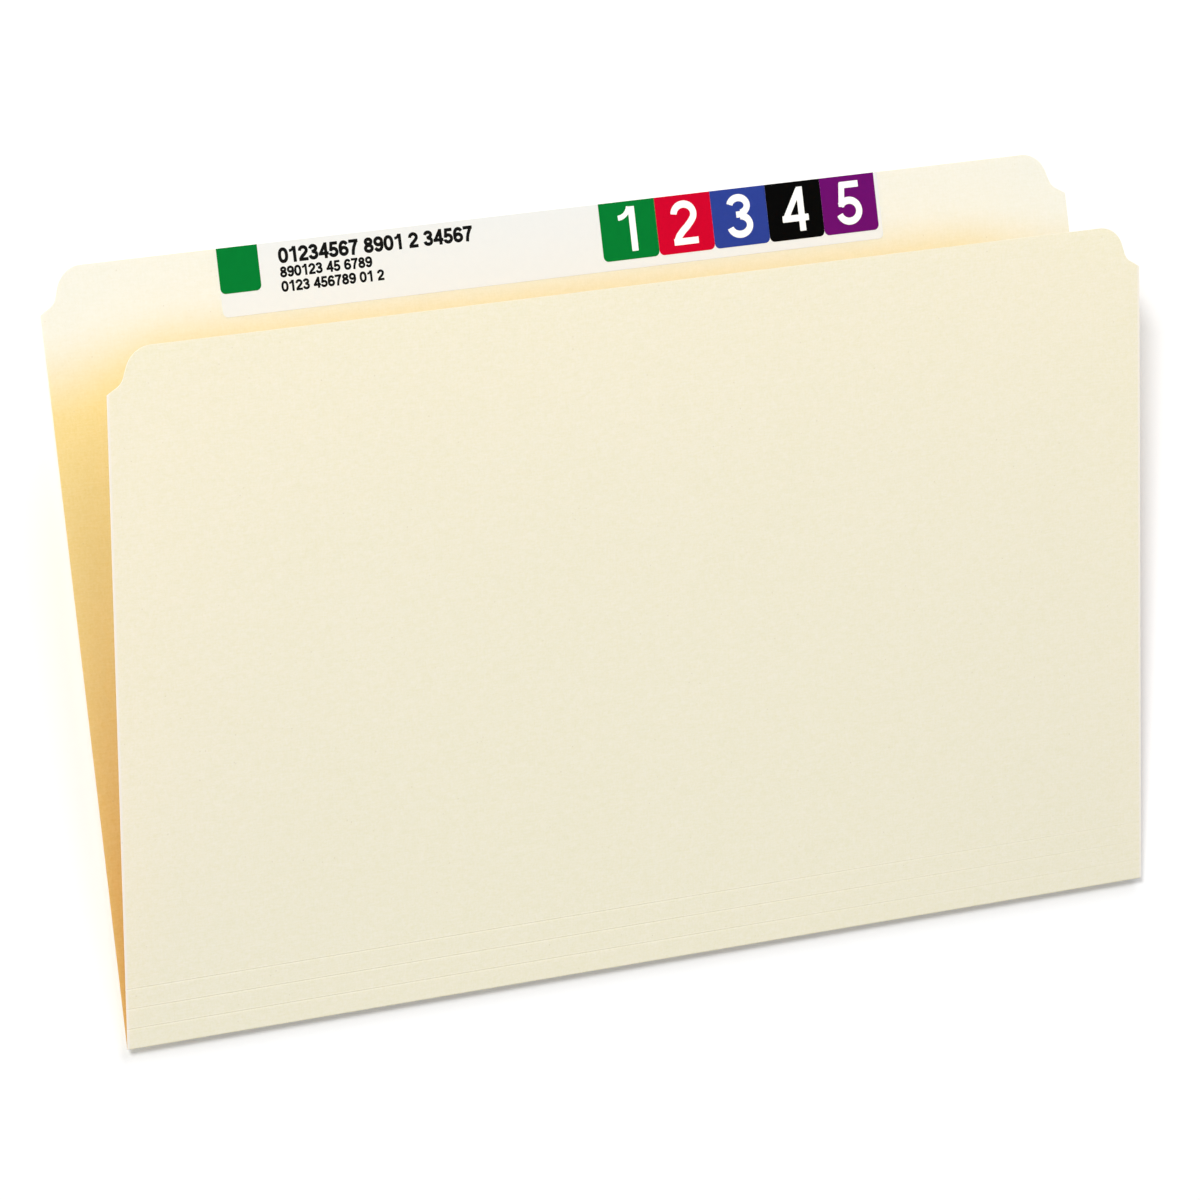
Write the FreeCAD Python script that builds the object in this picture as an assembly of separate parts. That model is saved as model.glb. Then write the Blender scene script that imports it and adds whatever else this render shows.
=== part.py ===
import FreeCAD
import Part
import math
import os

# Manila file folder, legal size, straight-cut top edges, one ply of board.
# It lies on its back panel with the front panel standing part open.
# X runs along the fold, Y from the fold to the top edge, Z up from the surface it lies on.
# The front half is drawn closed, flat on the back half, and is then turned open about the fold.

INCH = 25.4

# The sheet, cut and folded
FOLDER_WIDTH = 14.75 * INCH      # along the fold
BACK_HEIGHT = 9.5 * INCH         # fold to the top edge of the back panel
FRONT_HEIGHT = 8.625 * INCH      # fold to the top edge of the front panel
BOARD = 0.28                     # 11 point board
CLOSED_GAP = 0.10                # air between the two inner faces when the folder is shut
REST_OPENING = 11.0              # degrees the front panel stands open at rest

# The fold and the three score lines of the expanding bottom
FOLD_WIDTH = 0.6                 # strip of crushed board at the fold
SCORE_PITCH = 0.25 * INCH        # fold to first score, and score to score
SCORE_WIDTH = 0.4                # pressed line
SCORE_DEPTH = 0.05               # groove in the outer face
SEAM = 0.02                      # parting between pieces that turn on each other

# The die-cut shoulder at each top corner, from the side edge up to the top edge
SHOULDER_DEPTH = 14.0            # below the top edge
SHOULDER_SLOPE = 30.0            # degrees that the cut rises as it leaves the side edge
SHOULDER_LEAD = 4.0              # length of that sloping cut
NECK_SLOPE = 72.0                # degrees of the steep cut between the two arcs
HOLLOW_RADIUS = 5.0              # inside arc, from the slope to the neck
CROWN_RADIUS = 9.0               # outside arc, from the neck to the top edge

# The labels on the inner face of the back panel, level with its top edge
LABEL_PAPER = 0.09
NAME_LABEL_LEFT = 62.0           # from the folder's left edge
NAME_LABEL_LENGTH = 9.5 * INCH
NAME_LABEL_HEIGHT = 21.6
LABEL_CORNER = 1.8               # rounded lower corners
STICKER_FILM = 0.06
COLOUR_STICKER_SIZE = 14.3
DIGIT_COUNT = 5
DIGIT_PITCH = 0.8125 * INCH
DIGIT_HEIGHT = 18.6
DIGIT_MARGIN = 1.3               # strip of name label past the last digit
STICKER_SEAM = 0.05

# Worked out from the above
CREASE_Z = BOARD + CLOSED_GAP / 2          # the fold turns about this height
INNER_Z = BOARD + CLOSED_GAP               # inner face of the closed front half
OUTER_Z = INNER_Z + BOARD                  # and its outer face
opening = math.radians(REST_OPENING)
BACK_OF_FOLD = SEAM * math.cos(opening) - (OUTER_Z - CREASE_Z) * math.sin(opening)
FOLD_Y = -(BACK_HEIGHT + BACK_OF_FOLD) / 2  # puts the origin under the middle of the folder
TOP_Y = FOLD_Y + BACK_HEIGHT
HALF_WIDTH = FOLDER_WIDTH / 2


def vec(x, y, z=0.0):
    return FreeCAD.Vector(x, y, z)


def turn_open(shape):
    """Turns a piece of the front half from shut to its angle at rest."""
    shape.rotate(vec(0, FOLD_Y, CREASE_Z), vec(1, 0, 0), REST_OPENING)
    return shape


def write(name, shape):
    """Writes one node, and prints what it measures."""
    os.makedirs("parts", exist_ok=True)
    shape.exportStep(f"parts/{name}.step")
    box = shape.BoundBox
    size = f"{box.XLength:.2f} x {box.YLength:.2f} x {box.ZLength:.2f}"
    print(f"{name:22s} {size:28s} volume {shape.Volume:9.2f} valid {shape.isValid()}")


# The die-cut outline of a panel

def heading_point(start, distance, degrees):
    """The point at a distance and heading from start, in the corner's own inward and upward axes."""
    angle = math.radians(degrees)
    return (start[0] + distance * math.cos(angle), start[1] + distance * math.sin(angle))


def arc_through(start, radius, heading_in, heading_out):
    """Middle and end point of an arc that turns the cut from one heading to the other."""
    side = 1 if heading_out > heading_in else -1
    centre = heading_point(start, radius, heading_in + 90 * side)
    heading_mid = (heading_in + heading_out) / 2
    middle = heading_point(centre, radius, heading_mid - 90 * side)
    end = heading_point(centre, radius, heading_out - 90 * side)
    return middle, end


def corner_cut():
    """The cut from the shoulder to the top edge as runs of 2 points and arcs of 3, and its inward reach."""
    slope_end = heading_point((0, 0), SHOULDER_LEAD, SHOULDER_SLOPE)
    hollow_mid, hollow_end = arc_through(slope_end, HOLLOW_RADIUS, SHOULDER_SLOPE, NECK_SLOPE)
    crown_rise = CROWN_RADIUS * (1 - math.cos(math.radians(NECK_SLOPE)))
    neck_rise = SHOULDER_DEPTH - crown_rise - hollow_end[1]
    neck_end = heading_point(hollow_end, neck_rise / math.sin(math.radians(NECK_SLOPE)), NECK_SLOPE)
    crown_mid, crown_end = arc_through(neck_end, CROWN_RADIUS, NECK_SLOPE, 0)
    pieces = [
        [(0, 0), slope_end],
        [slope_end, hollow_mid, hollow_end],
        [hollow_end, neck_end],
        [neck_end, crown_mid, crown_end],
    ]
    return pieces, crown_end[0]


def edge_through(points):
    """A straight edge through 2 points or an arc through 3."""
    curve = Part.LineSegment if len(points) == 2 else Part.Arc
    return curve(*points).toShape()


def panel(bottom_y, top_y, base_z):
    """A flat panel of board with square bottom corners and die-cut top corners."""
    cut, reach = corner_cut()
    shoulder_y = top_y - SHOULDER_DEPTH
    edges = []
    for side in (1, -1):
        for piece in cut:
            placed = [vec(side * (HALF_WIDTH - u), shoulder_y + v, base_z) for u, v in piece]
            edges.append(edge_through(placed))
        side_x = side * HALF_WIDTH
        edges.append(edge_through([vec(side_x, bottom_y, base_z), vec(side_x, shoulder_y, base_z)]))
    top_x = HALF_WIDTH - reach
    edges.append(edge_through([vec(-top_x, top_y, base_z), vec(top_x, top_y, base_z)]))
    edges.append(edge_through([vec(-HALF_WIDTH, bottom_y, base_z), vec(HALF_WIDTH, bottom_y, base_z)]))
    outline = Part.Wire(Part.__sortEdges__(edges))
    return Part.Face(outline).extrude(vec(0, 0, BOARD))


def strip(start, end, thickness=BOARD):
    """A full-width strip of the closed front half, between two distances from the fold."""
    return Part.makeBox(FOLDER_WIDTH, end - start, thickness, vec(-HALF_WIDTH, FOLD_Y + start, INNER_Z))


def label(left, width, height, thickness, base_z):
    """A label flush with the top edge of the back panel, with square top and rounded lower corners."""
    block = Part.makeBox(width, height, thickness, vec(left, TOP_Y - height, base_z))
    lower_corners = [
        edge
        for edge in block.Edges
        if abs(edge.BoundBox.ZLength - thickness) < SEAM and edge.BoundBox.YMax < TOP_Y - height / 2
    ]
    return block.makeFillet(LABEL_CORNER, lower_corners)


# Back panel: it carries the labels and lies on the surface.
write("back_panel", panel(FOLD_Y, TOP_Y, 0))

# Front half, from the fold outwards: the fold, then a strip and a score line three times, then the
# front panel. Each score line bends outwards on the strip before it, about the outer edge between
# them, so that no two pieces cut into each other.
write("bottom_fold", turn_open(strip(SEAM, FOLD_WIDTH)))

GUSSET_NAMES = ("lower", "middle", "upper")
strip_start = FOLD_WIDTH
hinge_lines = []
for number, name in enumerate(GUSSET_NAMES, start=1):
    score_start = number * SCORE_PITCH - SCORE_WIDTH / 2
    score_end = score_start + SCORE_WIDTH
    write(f"gusset_strip_{name}", turn_open(strip(strip_start, score_start)))
    score = strip(score_start + SEAM, score_end, BOARD - SCORE_DEPTH)
    write(f"score_line_{name}", turn_open(score))
    hinge_lines.append((f"{name} score bends", score_start + SEAM / 2, OUTER_Z))
    strip_start = score_end

front = panel(FOLD_Y + strip_start, FOLD_Y + FRONT_HEIGHT, INNER_Z)
write("front_panel", turn_open(front))

# Labels, on the inner face of the back panel
label_left = NAME_LABEL_LEFT - HALF_WIDTH
write("name_label", label(label_left, NAME_LABEL_LENGTH, NAME_LABEL_HEIGHT, LABEL_PAPER, BOARD))
sticker_z = BOARD + LABEL_PAPER
write(
    "colour_label",
    label(label_left, COLOUR_STICKER_SIZE, COLOUR_STICKER_SIZE, STICKER_FILM, sticker_z),
)
label_right = label_left + NAME_LABEL_LENGTH
digits_left = label_right - DIGIT_MARGIN - DIGIT_COUNT * DIGIT_PITCH
for number in range(DIGIT_COUNT):
    left = digits_left + number * DIGIT_PITCH
    sticker = label(left, DIGIT_PITCH - STICKER_SEAM, DIGIT_HEIGHT, STICKER_FILM, sticker_z)
    write(f"digit_label_{number + 1}", sticker)

# The hinge lines at rest
print(f"fold turns about y {FOLD_Y:.4f} z {CREASE_Z:.4f}")
for name, distance, height in hinge_lines:
    line = Part.Vertex(0, FOLD_Y + distance, height)
    turn_open(line)
    print(f"{name:22s} about y {line.Point.y:.4f} z {line.Point.z:.4f}")
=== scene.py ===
import math

import bmesh
import bpy
import numpy as np
from mathutils import Euler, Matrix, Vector


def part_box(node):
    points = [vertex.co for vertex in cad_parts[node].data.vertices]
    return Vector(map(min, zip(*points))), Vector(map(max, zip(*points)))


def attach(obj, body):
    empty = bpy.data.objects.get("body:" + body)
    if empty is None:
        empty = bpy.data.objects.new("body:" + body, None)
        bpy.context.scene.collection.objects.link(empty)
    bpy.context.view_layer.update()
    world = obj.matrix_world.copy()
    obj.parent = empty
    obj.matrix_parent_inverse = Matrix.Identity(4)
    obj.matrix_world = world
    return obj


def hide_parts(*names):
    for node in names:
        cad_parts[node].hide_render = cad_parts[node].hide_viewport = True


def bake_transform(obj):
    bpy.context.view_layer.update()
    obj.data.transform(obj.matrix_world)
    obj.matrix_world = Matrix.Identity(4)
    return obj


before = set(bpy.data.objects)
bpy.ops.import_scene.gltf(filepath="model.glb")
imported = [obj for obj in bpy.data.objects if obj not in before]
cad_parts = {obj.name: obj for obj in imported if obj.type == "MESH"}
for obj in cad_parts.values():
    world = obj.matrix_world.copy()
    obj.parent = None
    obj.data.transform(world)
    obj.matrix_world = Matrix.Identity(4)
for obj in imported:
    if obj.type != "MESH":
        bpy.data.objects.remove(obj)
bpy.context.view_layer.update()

# Sizes are in millimetres, and MM turns them into Blender's metres.
scene = bpy.context.scene
MM = 0.001


# --- The view -------------------------------------------------------------------------------------
# A long lens high over the folder's left side, with the fold towards the bottom of the picture.
LENS = 240.0
SENSOR = 36.0
EYE = Vector((-1.238659, 0.131252, 2.222746))
LOOK = Euler([math.radians(turn) for turn in (0.57926, -29.19528, -7.45424)], "XYZ")

view_data = bpy.data.cameras.new("view")
view_data.lens = LENS
view_data.sensor_width = SENSOR
view_data.clip_start = 0.1
view_data.clip_end = 20
view = bpy.data.objects.new("view", view_data)
view.location = EYE
view.rotation_euler = LOOK
scene.collection.objects.link(view)
scene.camera = view


# --- Back cover -----------------------------------------------------------------------------------
# The taller panel of the folder, of 11 point manila board. It is die-cut with a small shoulder and
# a rounded crown at each top corner, and it lies flat on its outer face.
FOLDER_WIDTH = 374.65
BACK_HEIGHT = 241.3
BOARD = 0.28
HALF_GAP = 0.05
FOLD_Y = -120.6283
CREASE_Z = BOARD + HALF_GAP
HALF_WIDTH = FOLDER_WIDTH / 2

SHOULDER_DEPTH = 14.0
SHOULDER_SLOPE = 30.0
SHOULDER_LEAD = 4.0
NECK_SLOPE = 72.0
HOLLOW_RADIUS = 5.0
CROWN_RADIUS = 9.0
ARC_STEPS = 10
COLUMN_PITCH = 6.0
ROW_PITCH = 6.0
SHOULDER_ROWS = 5


class Wire:
    """A socket in a material's tree. Plain sums on it add the Math nodes that work them out."""

    def __init__(self, tree, socket=None):
        self.tree = tree
        self.socket = socket

    def node(self, kind, settings=(), sockets=(), out=0):
        """Adds a node, gives it its settings, then its sockets, and returns one of its outputs."""
        made = self.tree.nodes.new(kind)
        for name, value in dict(settings).items():
            setattr(made, name, value)
        for name, value in dict(sockets).items():
            if isinstance(value, Wire):
                self.tree.links.new(value.socket, made.inputs[name])
            else:
                made.inputs[name].default_value = value
        return Wire(self.tree, made.outputs[out] if made.outputs else None)

    def sum(self, operation, first, second):
        return self.node("ShaderNodeMath", {"operation": operation}, {0: first, 1: second})

    def __add__(self, other):
        return self.sum("ADD", self, other)

    __radd__ = __add__

    def __mul__(self, other):
        return self.sum("MULTIPLY", self, other)

    __rmul__ = __mul__

    def __sub__(self, other):
        return self.sum("SUBTRACT", self, other)

    def __rsub__(self, other):
        return self.sum("SUBTRACT", other, self)

    def __truediv__(self, other):
        return self.sum("DIVIDE", self, other)

    def ease(self, low, high):
        """0 below low, 1 above high, and smooth in between."""
        return self.node(
            "ShaderNodeMapRange",
            {"interpolation_type": "SMOOTHSTEP"},
            {"Value": self, "From Min": low, "From Max": high},
        )

    def colours(self, low, high):
        """The colour low where this is 0 and high where it is 1."""
        low, high = ((*end, 1) if isinstance(end, tuple) else end for end in (low, high))
        settings = {"data_type": "RGBA", "clamp_factor": True}
        return self.node("ShaderNodeMix", settings, {0: self, 6: low, 7: high}, out=2)

    def noise(self, place, scale, detail=2.0, roughness=0.5):
        return self.node(
            "ShaderNodeTexNoise",
            {},
            {"Vector": place, "Scale": scale, "Detail": detail, "Roughness": roughness},
        )


def new_finish(name):
    """An empty material, and a wire to build its tree with."""
    material = bpy.data.materials.new(name)
    material.use_nodes = True
    material.node_tree.nodes.clear()
    return material, Wire(material.node_tree)


def manila(name, pale, deep, lining=False):
    """Uncoated manila board: cream pulp with soft mottling, fine fibres along and across the sheet,
    and sparse darker flecks. It is thin enough to glow warm where light comes through it. As a
    lining it is painted buff with amber shade up to a line under the front cover's top edge, the
    painted shade deepest at the two ends of the fold, and plain pale cream on the tab above that
    line. Elsewhere its side edges are painted pale, a painted highlight."""
    material, wire = new_finish(name)
    place = wire.node("ShaderNodeTexCoord", out="Object")
    along = wire.node("ShaderNodeMapping", {}, {"Vector": place, "Scale": (0.16, 1.0, 1.0)})
    across = wire.node("ShaderNodeMapping", {}, {"Vector": place, "Scale": (1.0, 0.22, 1.0)})
    cloud = wire.noise(place, 26.0, 3.0, 0.55)
    mottle = wire.noise(place, 170.0, 3.0, 0.6)
    flock = wire.noise(place, 560.0, 2.0, 0.6)
    grain = wire.noise(place, 1250.0, 2.0, 0.6)
    fibre = wire.noise(along, 2000.0, 2.0, 0.65)
    cross = wire.noise(across, 1600.0, 2.0, 0.6)
    soft = 0.04 * cloud + 0.04 * mottle + 0.07 * flock
    texture = soft + 0.33 * grain + 0.3 * fibre + 0.22 * cross
    tone = (texture - TEXTURE_LOW) * TEXTURE_CONTRAST
    cell = {"Vector": place, "Scale": 380.0}
    fleck_spot = wire.node("ShaderNodeTexVoronoi", {}, cell, out="Distance").ease(0.12, 0.05)
    fleck_pick = wire.noise(place, 190.0, 1.0).ease(0.56, 0.64)
    fleck = fleck_spot * fleck_pick
    pulp = tone.colours(deep, pale)
    x = wire.node("ShaderNodeSeparateXYZ", {}, {0: place}, out="X")
    inward = wire.sum("ABSOLUTE", x, 0.0)
    if lining:
        y = wire.node("ShaderNodeSeparateXYZ", {}, {0: place}, out="Y")
        # The painted amber shade ends at a line under the front cover's top edge; the tab above is
        # plain cream.
        side = inward.ease((HALF_WIDTH - SHADE_EDGE_SIDE) * MM, HALF_WIDTH * MM)
        line = (FOLD_Y + SHADE_EDGE_HEIGHT) * MM - SHADE_EDGE_DROP * MM * side
        spread = SHADE_EDGE_SPREAD * MM + SHADE_EDGE_WIDENING * MM * side
        above_painted_shade = ((y - line) / spread).ease(-1, 1)
        # Painted shade: the lining is painted deeper towards the fold and towards its two ends.
        low = y.ease((FOLD_Y + FOLD_SHADE_TOP) * MM, (FOLD_Y + FOLD_SHADE_FULL) * MM)
        ends = inward.ease((HALF_WIDTH - FOLD_SHADE_REACH) * MM, (HALF_WIDTH - FOLD_SHADE_RIM) * MM)
        pulp = (low * ends).colours(pulp, tone.colours(FOLD_SHADE_DEEP, FOLD_SHADE_PALE))
        pulp = above_painted_shade.colours(pulp, tone.colours(TAB_CREAM_DEEP, TAB_CREAM_PALE))
    else:
        # Painted highlight: the side edges are painted pale.
        painted_edge_highlight = inward.ease((HALF_WIDTH - HIGHLIGHT_REACH) * MM, (HALF_WIDTH - HIGHLIGHT_RIM) * MM)
        pulp = (painted_edge_highlight * 0.7).colours(pulp, EDGE_HIGHLIGHT_PALE)
    stained = (fleck * 0.22).colours(pulp, FLECK_BROWN)
    height = 0.45 * fibre + 0.3 * grain + 0.25 * mottle
    bump = wire.node(
        "ShaderNodeBump", {}, {"Height": height, "Strength": 0.55, "Distance": FIBRE_DEPTH}
    )
    face = wire.node(
        "ShaderNodeBsdfPrincipled",
        {},
        {
            "Base Color": stained,
            "Roughness": 0.86 - 0.22 * mottle,
            "Specular IOR Level": 0.28,
            "Normal": bump,
        },
    )
    glow = {"Color": (*BOARD_GLOW, 1), "Normal": bump}
    through = wire.node("ShaderNodeBsdfTranslucent", {}, glow)
    both = wire.node("ShaderNodeMixShader", {}, {0: LET_THROUGH, 1: face, 2: through})
    wire.node("ShaderNodeOutputMaterial", {}, {"Surface": both})
    return material


BOARD_PALE = (1.0, 0.99, 0.83)
BOARD_DEEP = (0.94, 0.93, 0.7)
# Painted amber shade on the folder's inner faces, standing in for the warm light between the
# covers.
LINING_SHADE_PALE = (0.905, 0.785, 0.41)
LINING_SHADE_DEEP = (0.855, 0.725, 0.32)
FOLD_SHADE_PALE = (0.855, 0.615, 0.235)
FOLD_SHADE_DEEP = (0.805, 0.545, 0.17)
# The tab's plain cream, above the lining's painted shade.
TAB_CREAM_PALE = (0.925, 0.96, 0.905)
TAB_CREAM_DEEP = (0.89, 0.92, 0.83)
# Painted highlight on the cut edges and along the side edges.
EDGE_HIGHLIGHT_PALE = (1.0, 1.0, 0.97)
FLECK_BROWN = (0.42, 0.33, 0.2)
BOARD_GLOW = (1.0, 0.74, 0.25)
LET_THROUGH = 0.15
TEXTURE_LOW = 0.39
TEXTURE_CONTRAST = 4.6
FIBRE_DEPTH = 0.00005

# The lining's painted amber shade ends across a line at this height above the fold, under the front
# cover's top edge; the line drops and widens at the sides.
SHADE_EDGE_HEIGHT = 216.5
SHADE_EDGE_SPREAD = 12.0
SHADE_EDGE_SIDE = 45.0
SHADE_EDGE_DROP = 9.0
SHADE_EDGE_WIDENING = 5.0

# The lining's painted shade at the fold, deepest at its two ends: its heights above the fold, and
# its distances from the side edges.
FOLD_SHADE_TOP = 170.0
FOLD_SHADE_FULL = 20.0
FOLD_SHADE_REACH = 125.0
FOLD_SHADE_RIM = 10.0

# The side edges are painted pale over this distance, a painted highlight.
HIGHLIGHT_REACH = 1.1
HIGHLIGHT_RIM = 0.3

board_face = manila("manila_board_face", BOARD_PALE, BOARD_DEEP)
# The inner faces carry the lining's painted amber shade.
board_inside = manila("manila_board_inside", LINING_SHADE_PALE, LINING_SHADE_DEEP, lining=True)
# The cut edges are painted pale, a painted highlight.
board_edge = manila("manila_cut_edge", EDGE_HIGHLIGHT_PALE, BOARD_PALE)


def corner_profile():
    """Points of the die cut, from the shoulder on the side edge up to the top edge: how far in, and
    how far up."""
    points = [(0.0, 0.0)]

    def straight(length, heading):
        turn = math.radians(heading)
        last = points[-1]
        points.append((last[0] + length * math.cos(turn), last[1] + length * math.sin(turn)))

    def arc(radius, start, end):
        step = (end - start) / ARC_STEPS
        chord = 2 * radius * math.sin(math.radians(abs(step)) / 2)
        for number in range(ARC_STEPS):
            straight(chord, start + step * (number + 0.5))

    straight(SHOULDER_LEAD, SHOULDER_SLOPE)
    arc(HOLLOW_RADIUS, SHOULDER_SLOPE, NECK_SLOPE)
    crown_rise = CROWN_RADIUS * (1 - math.cos(math.radians(NECK_SLOPE)))
    neck_rise = SHOULDER_DEPTH - crown_rise - points[-1][1]
    straight(neck_rise / math.sin(math.radians(NECK_SLOPE)), NECK_SLOPE)
    arc(CROWN_RADIUS, NECK_SLOPE, 0.0)
    return points


def evenly(start, end, pitch):
    """Numbers from start to end, about one pitch apart."""
    steps = max(1, round((end - start) / pitch))
    return [start + (end - start) * number / steps for number in range(steps + 1)]


def panel_grid(bottom, top):
    """Columns of (x, height) points that fill a panel with die-cut top corners."""
    profile = corner_profile()
    reach = profile[-1][0]
    left = [(inward - HALF_WIDTH, rise) for inward, rise in profile]
    straight_run = evenly(reach - HALF_WIDTH, HALF_WIDTH - reach, COLUMN_PITCH)
    middle = [(x, SHOULDER_DEPTH) for x in straight_run[1:-1]]
    right = [(-x, rise) for x, rise in reversed(left)]
    shoulder = top - SHOULDER_DEPTH
    rows = evenly(bottom, shoulder, ROW_PITCH)
    return [
        [(x, row) for row in rows]
        + [(x, shoulder + rise * (number + 1) / SHOULDER_ROWS) for number in range(SHOULDER_ROWS)]
        for x, rise in left + middle + right
    ]


def board_mesh(name, outer, inner, lining):
    """A closed piece of board from two matching grids of points, its outer and its inner face. The
    inner face is finished with the lining."""
    mesh = bpy.data.meshes.new(name)
    bm = bmesh.new()
    skins = [
        [[bm.verts.new(Vector(point) * MM) for point in column] for column in grid]
        for grid in (outer, inner)
    ]
    columns, rows = len(outer), len(outer[0])
    for finish, skin in zip((0, 2), skins):
        for i in range(columns - 1):
            for j in range(rows - 1):
                ring = [skin[i][j], skin[i + 1][j], skin[i + 1][j + 1], skin[i][j + 1]]
                bm.faces.new(ring if finish == 0 else ring[::-1]).material_index = finish
    border = [(i, 0) for i in range(columns)]
    border += [(columns - 1, j) for j in range(1, rows)]
    border += [(i, rows - 1) for i in range(columns - 2, -1, -1)]
    border += [(0, j) for j in range(rows - 2, 0, -1)]
    for here, there in zip(border, border[1:] + border[:1]):
        a, b = (skins[0][i][j] for i, j in (here, there))
        c, d = (skins[1][i][j] for i, j in (there, here))
        bm.faces.new((b, a, d, c)).material_index = 1
    bmesh.ops.remove_doubles(bm, verts=bm.verts, dist=1e-7)
    bmesh.ops.dissolve_degenerate(bm, dist=1e-8, edges=bm.edges)
    bmesh.ops.recalc_face_normals(bm, faces=bm.faces)
    bm.to_mesh(mesh)
    bm.free()
    return dress(name, mesh, board_face, board_edge, lining)


def dress(name, mesh, *finishes):
    """Puts a finished mesh in the scene, with its finishes and with sharp edges kept sharp."""
    for finish in finishes:
        mesh.materials.append(finish)
    mesh.polygons.foreach_set("use_smooth", [True] * len(mesh.polygons))
    mesh.set_sharp_from_angle(angle=math.radians(35))
    piece = bpy.data.objects.new(name, mesh)
    scene.collection.objects.link(piece)
    return piece


back_grid = panel_grid(0.0, BACK_HEIGHT)
back_cover = board_mesh(
    "back_cover",
    [[(x, FOLD_Y + height, 0.0) for x, height in column] for column in back_grid],
    [[(x, FOLD_Y + height, BOARD) for x, height in column] for column in back_grid],
    board_inside,
)
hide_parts("back_panel")
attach(back_cover, "back")


# --- Bottom fold ----------------------------------------------------------------------------------
# The board is creased and turned back on itself along the whole length of the folder. Its crushed
# outside rolls round the line that the front cover turns about, from the back cover to the front.
OPENING = math.radians(11.0)
OUTER_Z = 2 * CREASE_Z
CREASE_STEPS = 14


def on_front(x, distance, depth):
    """A point of the front half as it stands open: x, distance from the fold, and depth under its
    outer face."""
    y, z = distance, OUTER_Z - depth - CREASE_Z
    return (
        x,
        FOLD_Y + y * math.cos(OPENING) - z * math.sin(OPENING),
        CREASE_Z + y * math.sin(OPENING) + z * math.cos(OPENING),
    )


def crease_mesh(name):
    """A wedge round the fold's line, from the end of the back cover to that of the front half."""
    mesh = bpy.data.meshes.new(name)
    bm = bmesh.new()
    first, last = math.pi / 2 + OPENING, 3 * math.pi / 2
    turns = [first + (last - first) * step / CREASE_STEPS for step in range(CREASE_STEPS + 1)]
    slices = []
    for x in evenly(-HALF_WIDTH, HALF_WIDTH, COLUMN_PITCH):
        ring = [(x, FOLD_Y, CREASE_Z)]
        ring += [
            (x, FOLD_Y + CREASE_Z * math.cos(t), CREASE_Z + CREASE_Z * math.sin(t)) for t in turns
        ]
        slices.append([bm.verts.new(Vector(point) * MM) for point in ring])
    for one, next_one in zip(slices, slices[1:]):
        for k in range(len(one)):
            after = (k + 1) % len(one)
            bm.faces.new((one[k], one[after], next_one[after], next_one[k]))
    for end in (slices[0], slices[-1]):
        for k in range(1, len(end) - 1):
            bm.faces.new((end[0], end[k], end[k + 1])).material_index = 1
    bmesh.ops.recalc_face_normals(bm, faces=bm.faces)
    bm.to_mesh(mesh)
    bm.free()
    return dress(name, mesh, board_face, board_edge)


fold_crease = crease_mesh("fold_crease")
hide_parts("bottom_fold")
crease_top = on_front(0, 0, 0)[2]
crease_top * MM
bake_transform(fold_crease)


# --- Score lines ----------------------------------------------------------------------------------
# Three lines pressed into the board a quarter inch apart, so that it can bend there. The press
# leaves a shallow groove outside and a low bead inside, and bites less towards the right-hand end.
SCORE_PITCH = 6.35
SCORE_SHIFT = -0.19
SCORE_REACH = 0.6
SCORE_GROOVE = 0.06
SCORE_ROWS = 21
SCORE_COLUMNS = 190
SCORE_NAMES = ("lower", "middle", "upper")
score_places = [SCORE_PITCH * (number + 1) + SCORE_SHIFT for number in range(3)]


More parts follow.
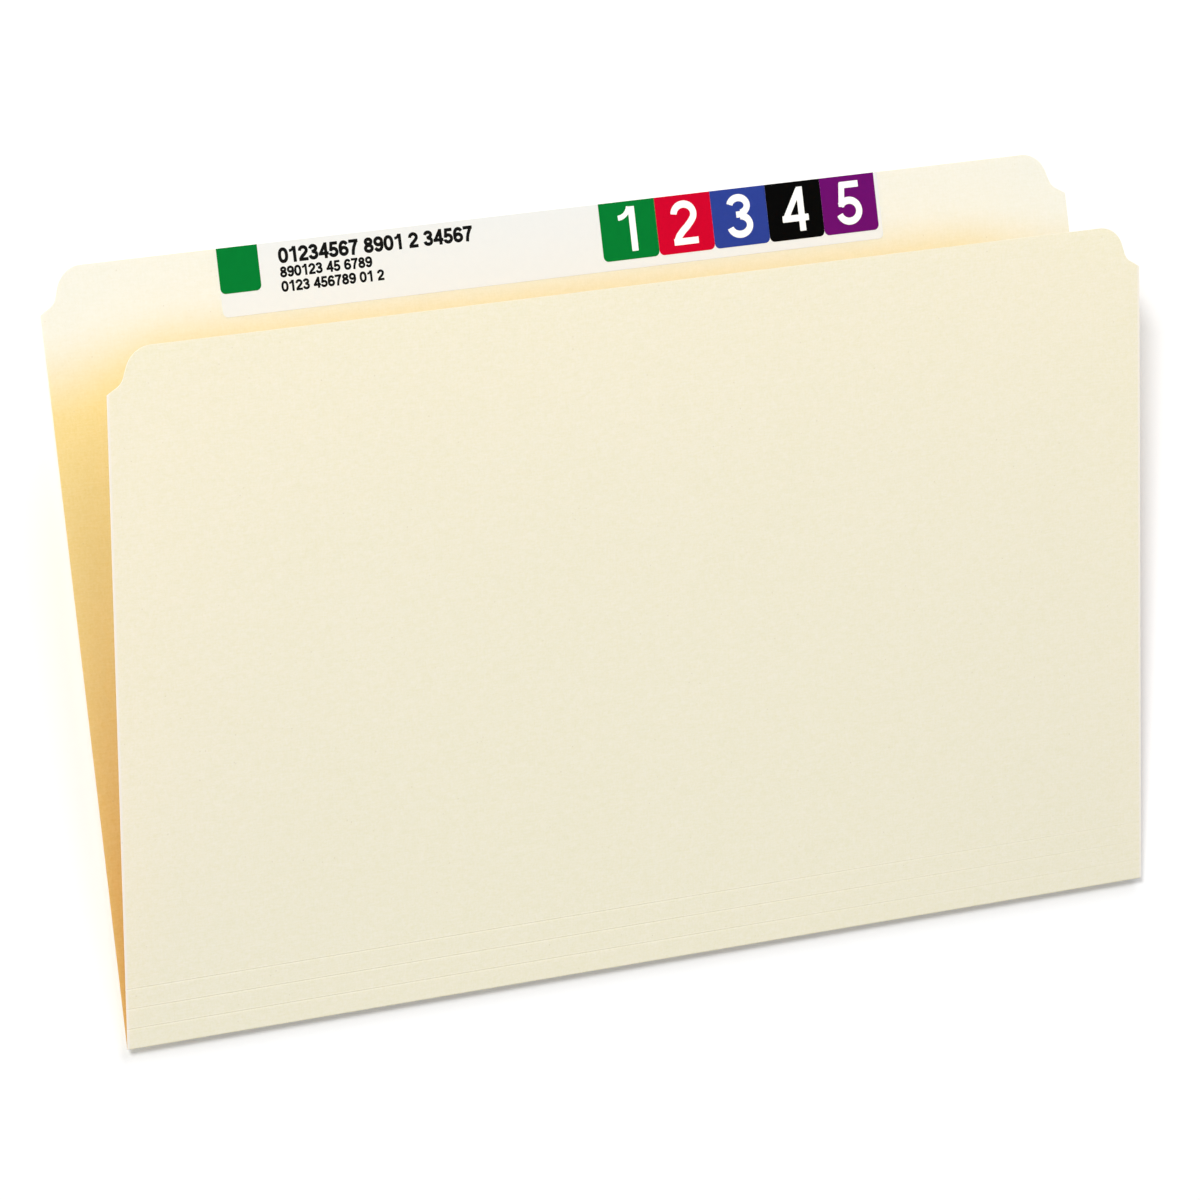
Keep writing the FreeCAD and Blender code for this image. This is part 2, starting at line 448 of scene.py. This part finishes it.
def score_tree():
    """A strip of board with a pressed groove along its middle. It lies flat, with its outer face at
    height 0."""
    tree = bpy.data.node_groups.new("pressed_score", "GeometryNodeTree")
    sizes = {"Length": 0.37, "Width": 0.001, "Thickness": 0.0003, "Groove": 0.00005, "Seed": 0.0}
    for name, value in sizes.items():
        made = tree.interface.new_socket(name, in_out="INPUT", socket_type="NodeSocketFloat")
        made.default_value = value
    tree.interface.new_socket("Finish", in_out="INPUT", socket_type="NodeSocketMaterial")
    tree.interface.new_socket("Geometry", in_out="OUTPUT", socket_type="NodeSocketGeometry")
    wire = Wire(tree)
    sizes = {name: wire.node("NodeGroupInput", out=name) for name in (*sizes, "Finish")}
    sheet = wire.node(
        "GeometryNodeMeshGrid",
        {},
        {
            "Size X": sizes["Length"],
            "Size Y": sizes["Width"],
            "Vertices X": SCORE_COLUMNS,
            "Vertices Y": SCORE_ROWS,
        },
    )
    place = wire.node("GeometryNodeInputPosition")
    x = wire.node("ShaderNodeSeparateXYZ", {}, {0: place}, out="X")
    y = wire.node("ShaderNodeSeparateXYZ", {}, {0: place}, out="Y")
    across = y / sizes["Width"]
    dip = across.ease(0.17, 0.0) * across.ease(-0.45, -0.02)
    shoulder = across.ease(0.1, 0.24) * across.ease(0.46, 0.28)
    fade = 1.0 - 0.6 * x.ease(-0.05, 0.2)
    uneven = wire.node(
        "ShaderNodeTexNoise",
        {"noise_dimensions": "4D"},
        {"Vector": place, "W": sizes["Seed"], "Scale": 30.0},
    )
    depth = sizes["Groove"] * (dip - 0.5 * shoulder) * fade * (uneven * 0.9 + 0.55)
    sink = wire.node("ShaderNodeCombineXYZ", {}, {"Z": 0.0 - depth})
    pressed = wire.node("GeometryNodeSetPosition", {}, {"Geometry": sheet, "Offset": sink})
    under = wire.node("ShaderNodeCombineXYZ", {}, {"Z": 0.0 - sizes["Thickness"]})
    inside = wire.node("GeometryNodeSetPosition", {}, {"Geometry": pressed, "Offset": under})
    inside = wire.node("GeometryNodeFlipFaces", {}, {"Mesh": inside})
    skins = wire.tree.nodes.new("GeometryNodeJoinGeometry")
    for skin in (pressed, inside):
        wire.tree.links.new(skin.socket, skins.inputs[0])
    whole = wire.node("GeometryNodeRealizeInstances", {}, {0: Wire(tree, skins.outputs[0])})
    finished = wire.node(
        "GeometryNodeSetMaterial", {}, {"Geometry": whole, "Material": sizes["Finish"]}
    )
    wire.node("NodeGroupOutput", {}, {"Geometry": finished})
    return tree


def grown(name, tree, inputs):
    """The plain mesh that a geometry tree makes with these inputs."""
    seed_mesh = bpy.data.meshes.new(name + "_start")
    holder = bpy.data.objects.new(name + "_start", seed_mesh)
    scene.collection.objects.link(holder)
    modifier = holder.modifiers.new("grow", "NODES")
    modifier.node_group = tree
    for item in tree.interface.items_tree:
        if item.in_out == "INPUT" and item.name in inputs:
            modifier[item.identifier] = inputs[item.name]
    holder.update_tag()
    graph = bpy.context.evaluated_depsgraph_get()
    mesh = bpy.data.meshes.new_from_object(holder.evaluated_get(graph), depsgraph=graph)
    mesh.name = name
    bpy.data.objects.remove(holder)
    bpy.data.meshes.remove(seed_mesh)
    return mesh


def close_rim(mesh):
    """Joins the open rims of the two skins of a strip, column by column and row by row."""
    bm = bmesh.new()
    bm.from_mesh(mesh)
    bm.verts.ensure_lookup_table()
    rim = [edge for edge in bm.edges if edge.is_boundary]
    bmesh.ops.bridge_loops(bm, edges=rim)
    for face in bm.faces:
        if abs(face.normal.z) < 0.5:
            face.material_index = 1
        else:
            face.material_index = 0 if face.calc_center_median().z > -MM * BOARD / 2 else 2
    bmesh.ops.recalc_face_normals(bm, faces=bm.faces)
    bm.to_mesh(mesh)
    bm.free()


pressed_score = score_tree()
bodies_in_line = ("strip_lower", "strip_middle", "strip_upper", "front")
for number, (name, place) in enumerate(zip(SCORE_NAMES, score_places)):
    mesh = grown(
        f"pressed_score_{name}",
        pressed_score,
        {
            "Length": FOLDER_WIDTH * MM,
            "Width": 2 * SCORE_REACH * MM,
            "Thickness": BOARD * MM,
            "Groove": SCORE_GROOVE * MM,
            "Seed": 3.0 + number,
            "Finish": board_face,
        },
    )
    mesh.materials.clear()
    close_rim(mesh)
    for vertex in mesh.vertices:
        x, y, z = vertex.co / MM
        vertex.co = Vector(on_front(x, place + y, -z)) * MM
    score = dress(f"pressed_score_{name}", mesh, board_face, board_edge, board_inside)
    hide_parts(f"score_line_{name}")
    bodies_in_line[number + 1]
    Vector(on_front(0, place - SCORE_REACH, 0)) * MM
    Vector(on_front(0, place + SCORE_REACH, 0)) * MM
    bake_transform(score)


# --- Expansion strips -----------------------------------------------------------------------------
# The flat quarter-inch strips of board between the fold and the score lines. They are part of the
# same sheet, and are parted from the crease by a hair's breadth.
STRIP_PITCH = 2.0
FOLD_SEAM = 0.02
strip_start = FOLD_SEAM
for name, place, body in zip(SCORE_NAMES, score_places, bodies_in_line):
    strip_end = place - SCORE_REACH
    distances = evenly(strip_start, strip_end, STRIP_PITCH)
    lengthwise = evenly(-HALF_WIDTH, HALF_WIDTH, COLUMN_PITCH)
    strip = board_mesh(
        f"expansion_strip_{name}",
        [[on_front(x, distance, 0) for distance in distances] for x in lengthwise],
        [[on_front(x, distance, BOARD) for distance in distances] for x in lengthwise],
        board_inside,
    )
    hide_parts(f"gusset_strip_{name}")
    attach(strip, body)
    strip_start = place + SCORE_REACH


# --- Front cover ----------------------------------------------------------------------------------
# The shorter panel, die-cut at its top corners like the back cover. It stands open on the fold, and
# the board bows a little, as a loose sheet does.
FRONT_HEIGHT = 219.075
BOW = 0.35
BOW_START = 30.0


def bowed(x, distance):
    """How deep the loose board lies under flat, negative because it bows outwards. It is flat for a
    while past the last score line."""
    start = strip_start + BOW_START
    along = max(0.0, (distance - start) / (FRONT_HEIGHT - start))
    lift = along * along * (3 - 2 * along)
    wave = 0.5 + 0.3 * math.cos(x / 74.0 + 0.5) + 0.2 * math.sin(x / 31.0 + distance / 60.0)
    return -BOW * lift * wave


def front_face(depth):
    """The front cover's grid of points at a depth under its bowed outer face."""
    return [
        [on_front(x, distance, bowed(x, distance) + depth) for x, distance in column]
        for column in panel_grid(strip_start, FRONT_HEIGHT)
    ]


front_cover = board_mesh("front_cover", front_face(0.0), front_face(BOARD), board_inside)
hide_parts("front_panel")
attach(front_cover, "front")


# --- Labels ---------------------------------------------------------------------------------------
# A strip of smooth white label paper and six satin printed stickers on it, all cut flush with the
# top edge of the back cover and pressed down flat.
TOOTH_DEPTH = 0.00002


def label_finish(name, colour, roughness, gloss, speckle):
    """Printed label stock: an even colour with a faint press mottle and a hint of paper tooth."""
    material, wire = new_finish(name)
    place = wire.node("ShaderNodeTexCoord", out="Object")
    mottle = wire.noise(place, 420.0, 3.0, 0.6)
    tooth = wire.noise(place, 3200.0, 2.0, 0.6)
    tone = (0.5 * mottle + 0.5 * tooth - 0.3) * 2.5
    darker = tuple(channel * (1 - speckle) for channel in colour)
    lighter = tuple(min(1.0, channel * (1 + speckle)) for channel in colour)
    bump = wire.node(
        "ShaderNodeBump",
        {},
        {"Height": 0.6 * tooth + 0.4 * mottle, "Strength": 0.35, "Distance": TOOTH_DEPTH},
    )
    face = wire.node(
        "ShaderNodeBsdfPrincipled",
        {},
        {
            "Base Color": tone.colours(darker, lighter),
            "Roughness": roughness + 0.12 * mottle,
            "Specular IOR Level": gloss,
            "Normal": bump,
        },
    )
    wire.node("ShaderNodeOutputMaterial", {}, {"Surface": face})
    return material


STICKER_COLOURS = {
    "green": (0.001, 0.19, 0.031),
    "red": (0.59, 0.001, 0.025),
    "blue": (0.026, 0.052, 0.3),
    "black": (0.0015, 0.0015, 0.0015),
    "purple": (0.14, 0.004, 0.15),
}
label_white = label_finish("label_paper_white", (0.8, 0.825, 0.825), 0.55, 0.12, 0.012)
stickers = {
    name: label_finish(f"sticker_{name}_print", colour, 0.5, 0.03, 0.05)
    for name, colour in STICKER_COLOURS.items()
}


def finish_node(node, finish):
    """Gives a solid that is already the right shape its finish."""
    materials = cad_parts[node].data.materials
    materials.clear()
    materials.append(finish)


finish_node("name_label", label_white)
finish_node("colour_label", stickers["green"])
for number, finish in enumerate(stickers.values(), start=1):
    finish_node(f"digit_label_{number}", finish)


# --- Printing on the labels -----------------------------------------------------------------------
# Plain numbers: rows in black ink on the white strip, and one large white digit on each of the five
# digit stickers, as thin as a layer of ink. The digits are drawn as strokes of a bold, even width.
INK = 0.012
INK_PITCH = 0.0125
DIGIT_SPACING = 0.774
WORD_SPACE = 0.387
BOLD = 0.162
BAR = 0.148
ink_black = label_finish("printing_ink_black", (0.003, 0.003, 0.003), 0.5, 0.1, 0.1)
ink_white = label_finish("printing_ink_white", (0.96, 1.0, 1.0), 0.5, 0.1, 0.01)


def bow(cx, cy, rx, ry, start, end, power=2.0):
    """Points along an arc of an oval, in degrees. Powers above 2 make the oval squarer."""
    steps = max(8, round(abs(end - start) / 7))
    points = []
    for step in range(steps + 1):
        turn = math.radians(start + (end - start) * step / steps)
        c, s = math.cos(turn), math.sin(turn)
        x = cx + rx * math.copysign(abs(c) ** (2 / power), c)
        y = cy + ry * math.copysign(abs(s) ** (2 / power), s)
        points.append((x, y))
    return points


TWO_TAIL = [(0.5, 0.5), (0.4, 0.405), (0.28, 0.31), (0.18, 0.21), (0.125, 0.12)]
SEVEN_LEG = [(0.585, 0.9), (0.47, 0.7), (0.37, 0.49), (0.3, 0.25), (0.27, 0.0)]
DIGITS = {
    "0": [(BOLD, bow(0.35, 0.5, 0.2625, 0.4125, -90, 270, 2.3))],
    "1": [(BOLD, [(0.46, 0), (0.46, 1)]), (0.115, bow(0.1, 1.05, 0.3, 0.285, -90, -10))],
    "2": [
        (BOLD, bow(0.345, 0.69, 0.255, 0.2225, 176, -28) + TWO_TAIL),
        (BAR, [(0.035, 0.08), (0.665, 0.08)]),
    ],
    "3": [
        (BOLD, bow(0.335, 0.735, 0.225, 0.1775, 168, -78)),
        (BOLD, bow(0.335, 0.295, 0.2575, 0.2075, 84, -168)),
        (0.14, [(0.26, 0.535), (0.42, 0.535)]),
    ],
    "4": [
        (BOLD, [(0.52, 0), (0.52, 1)]),
        (BAR, [(0.01, 0.3), (0.7, 0.3)]),
        (BAR, [(0.068, 0.26), (0.49, 0.935)]),
    ],
    "5": [
        (BAR, [(0.15, 0.92), (0.635, 0.92)]),
        (0.15, [(0.205, 0.98), (0.14, 0.43)]),
        (BOLD, bow(0.335, 0.325, 0.2625, 0.2375, 146, -164)),
    ],
    "6": [
        (BOLD, bow(0.355, 0.315, 0.2575, 0.2275, 0, 360)),
        (BOLD, bow(0.372, 0.49, 0.2825, 0.4225, 196, 40, 2.2)),
    ],
    "7": [(BAR, [(0.03, 0.92), (0.67, 0.92)]), (BOLD, SEVEN_LEG)],
    "8": [
        (BOLD, bow(0.35, 0.742, 0.215, 0.1705, 0, 360)),
        (BOLD, bow(0.35, 0.288, 0.2575, 0.2005, 0, 360)),
    ],
    "9": [
        (BOLD, bow(0.345, 0.685, 0.2575, 0.2275, 0, 360)),
        (BOLD, bow(0.328, 0.51, 0.2825, 0.4225, 16, -140, 2.2)),
    ],
}


def off_stroke(x, y, width, points):
    """How far points lie outside a stroke, negative inside it. Its two ends are cut square."""
    gaps = []
    for (ax, ay), (bx, by) in zip(points, points[1:]):
        length = math.hypot(bx - ax, by - ay)
        ux, uy = (bx - ax) / length, (by - ay) / length
        along = (x - ax) * ux + (y - ay) * uy
        past = np.maximum(np.maximum(-along, along - length), 0)
        gaps.append(np.hypot((y - ay) * ux - (x - ax) * uy, past) - width / 2)
    gap = np.minimum.reduce(gaps)
    if math.dist(points[0], points[-1]) > width / 4:
        for (ax, ay), (bx, by) in (points[:2], points[:-3:-1]):
            length = math.hypot(bx - ax, by - ay)
            before = ((ax - x) * (bx - ax) + (ay - y) * (by - ay)) / length
            close = np.hypot(x - ax, y - ay) < width
            gap = np.where(close, np.maximum(gap, before), gap)
    return gap


def inked_cells(digit, weight):
    """The inked area of a digit of height 1, as small polygons that share their corners. The weight
    is added to its strokes all round."""
    across = np.arange(-0.05, 0.8, INK_PITCH)
    up = np.arange(-0.05, 1.06, INK_PITCH)
    x, y = np.meshgrid(across, up, indexing="ij")
    gap = np.minimum.reduce([off_stroke(x, y, *stroke) for stroke in DIGITS[digit]]) - weight
    cells = []
    for i in range(len(across) - 1):
        for j in range(len(up) - 1):
            ring = [(i, j), (i + 1, j), (i + 1, j + 1), (i, j + 1)]
            if min(gap[place] for place in ring) >= 0:
                continue
            cell = []
            for here, there in zip(ring, ring[1:] + ring[:1]):
                a, b = gap[here], gap[there]
                if a < 0:
                    cell.append((x[here], y[here]))
                if (a < 0) != (b < 0):
                    share = a / (a - b)
                    edge_x = x[here] + (x[there] - x[here]) * share
                    edge_y = y[here] + (y[there] - y[here]) * share
                    cell.append((edge_x, edge_y))
            cells.append(cell)
    return cells


def digit_outline(digit, weight):
    """The inked area of a digit of height 1, as few flat faces: its corners and its faces."""
    bm = bmesh.new()
    for cell in inked_cells(digit, weight):
        bm.faces.new([bm.verts.new((px, py, 0)) for px, py in cell])
    bmesh.ops.remove_doubles(bm, verts=bm.verts, dist=1e-4)
    bmesh.ops.dissolve_limit(bm, angle_limit=math.radians(1.5), verts=bm.verts, edges=bm.edges)
    bm.verts.index_update()
    corners = [(v.co.x, v.co.y) for v in bm.verts]
    faces = [[v.index for v in face.verts] for face in bm.faces]
    bm.free()
    return corners, faces


ROW_WEIGHT = 0.04
row_digits = {digit: digit_outline(digit, ROW_WEIGHT) for digit in DIGITS}
large_digits = {digit: digit_outline(digit, 0.0) for digit in "12345"}


def print_number(name, words, left, baseline, height, surface, outlines, finish):
    """A number printed on a label: its left end, baseline and height, and the height of the surface
    under it."""
    mesh = bpy.data.meshes.new(name)
    bm = bmesh.new()
    start = left
    for letter in words:
        if letter == " ":
            start += WORD_SPACE * height
            continue
        corners, faces = outlines[letter]
        flat = [(start + u * height, baseline + v * height) for u, v in corners]
        high, low = (
            [bm.verts.new(Vector((*corner, z)) * MM) for corner in flat]
            for z in (surface + INK, surface)
        )
        for face in faces:
            bm.faces.new([high[k] for k in face])
            bm.faces.new([low[k] for k in reversed(face)])
        bm.verts.index_update()
        partner = dict(zip(high, low))
        for edge in [edge for vert in high for edge in vert.link_edges]:
            if edge.is_boundary and edge.is_valid:
                loop = edge.link_loops[0]
                a, b = loop.vert, loop.link_loop_next.vert
                bm.faces.new((b, a, partner[a], partner[b]))
        start += DIGIT_SPACING * height
    bmesh.ops.recalc_face_normals(bm, faces=bm.faces)
    bm.to_mesh(mesh)
    bm.free()
    piece = dress(name, mesh, finish)
    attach(piece, "back")
    return piece


paper_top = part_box("name_label")[1].z / MM
ROWS = (
    ("printed_row_1", "01234567 8901 2 34567", -103.9, 234.6, 4.6),
    ("printed_row_2", "890123 45 6789", -103.95, 230.1, 3.25),
    ("printed_row_3", "0123 456789 01 2", -104.0, 225.6, 3.25),
)
for name, words, left, above_fold, height in ROWS:
    baseline = FOLD_Y + above_fold
    row = print_number(name, words, left, baseline, height, paper_top, row_digits, ink_black)

DIGIT_HEIGHT = 14.3
DIGIT_BELOW = 2.5
for number in range(1, len(stickers) + 1):
    low, high = (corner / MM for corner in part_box(f"digit_label_{number}"))
    left_end = (low.x + high.x) / 2 - 0.35 * DIGIT_HEIGHT
    digit = print_number(
        f"printed_digit_{number}",
        str(number),
        left_end,
        low.y + DIGIT_BELOW,
        DIGIT_HEIGHT,
        high.z,
        large_digits,
        ink_white,
    )


# --- Table and light ------------------------------------------------------------------------------
# A plain white table that keeps a soft shadow, under an even pale room and two softboxes. It leans
# a little, so that it is just under the folder's tab and stands clear below the fold. The sizes and
# places in this section are in metres.
FLOOR_REACH = 6.0
FLOOR_DROP = 0.0023
FLOOR_LEAN = 0.017
table_mesh = bpy.data.meshes.new("table")
corners = [
    (FLOOR_REACH * x, FLOOR_REACH * y, FLOOR_LEAN * FLOOR_REACH * y - FLOOR_DROP)
    for x, y in ((-1, -1), (1, -1), (1, 1), (-1, 1))
]
table_mesh.from_pydata(corners, [], [(0, 1, 2, 3)])
table_white, wire = new_finish("table_white")
seen = wire.node("ShaderNodeLightPath", out="Is Camera Ray")
matt = wire.node("ShaderNodeBsdfDiffuse", {}, {"Color": (0.96, 0.96, 0.96, 1)})
lift = wire.node("ShaderNodeEmission", {}, {"Color": (1, 1, 1, 1), "Strength": seen * 0.06})
whole = wire.node("ShaderNodeAddShader", {}, {0: matt, 1: lift})
wire.node("ShaderNodeOutputMaterial", {}, {"Surface": whole})
table_mesh.materials.append(table_white)
table = bpy.data.objects.new("table", table_mesh)
scene.collection.objects.link(table)

ROOM_LIGHT = 0.4
room = bpy.data.worlds.new("room")
room.use_nodes = True
room.node_tree.nodes.clear()
wire = Wire(room.node_tree)
seen = wire.node("ShaderNodeLightPath", out="Is Camera Ray")
strength = seen * (1 - ROOM_LIGHT) + ROOM_LIGHT
glow = wire.node("ShaderNodeBackground", {}, {"Color": (1, 1, 1, 1), "Strength": strength})
wire.node("ShaderNodeOutputWorld", {}, {"Surface": glow})
scene.world = room

LAMPS = (
    ("key_softbox", (-7.3, 4.5, 10.3), 2.6, 1060.0),
    ("top_softbox", (0.0, 1.0, 1.2), 0.9, 7.6),
)
for name, place, size, power in LAMPS:
    lamp_data = bpy.data.lights.new(name, "AREA")
    lamp_data.shape = "SQUARE"
    lamp_data.size = size
    lamp_data.energy = power
    lamp = bpy.data.objects.new(name, lamp_data)
    lamp.location = place
    lamp.rotation_euler = (-Vector(place)).to_track_quat("-Z", "Y").to_euler()
    scene.collection.objects.link(lamp)

# Light passes back and forth between the covers many times before it leaves the folder.
BOUNCES = 32
scene.cycles.max_bounces = BOUNCES
scene.cycles.diffuse_bounces = BOUNCES
scene.cycles.transmission_bounces = BOUNCES

scene.view_settings.view_transform = "Standard"
